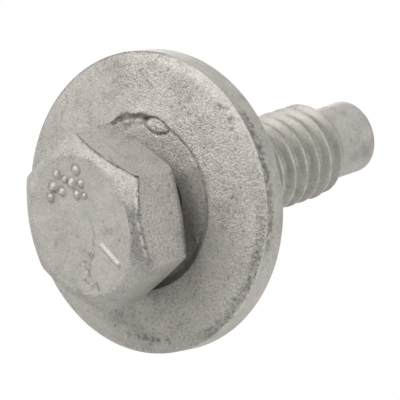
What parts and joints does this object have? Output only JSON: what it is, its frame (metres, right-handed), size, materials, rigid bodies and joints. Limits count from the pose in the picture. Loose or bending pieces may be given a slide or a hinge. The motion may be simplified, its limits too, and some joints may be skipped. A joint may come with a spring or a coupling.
{
  "type": "hex bolt with captive washer",
  "caption": "Hex-head body bolt with a large loose washer caught under the head and a plain dog point that guides it into its nut.",
  "frame": {"origin": "centre of the hex head's top face, which the bolt stands on", "axes": "+Z along the bolt axis to the dog point, +X through a corner of the hex head"},
  "size_m": [0.0242, 0.0243, 0.0313],
  "materials": {
    "coated_steel_bolt": "matt silver zinc-flake coat",
    "coated_steel_washer": "matt silver zinc-flake coat, grainy"
  },
  "bodies": {
    "bolt": {"bolt": "coated_steel_bolt"},
    "washer": {"captive_washer": "coated_steel_washer"}
  },
  "joints": [
    {"name": "washer_rock", "type": "hinge", "parent": "bolt", "child": "washer", "pos_m": [0, 0, 0.00819], "axis": [0.6428, -0.766, 0], "range_deg": [0, 20.3]}
  ]
}
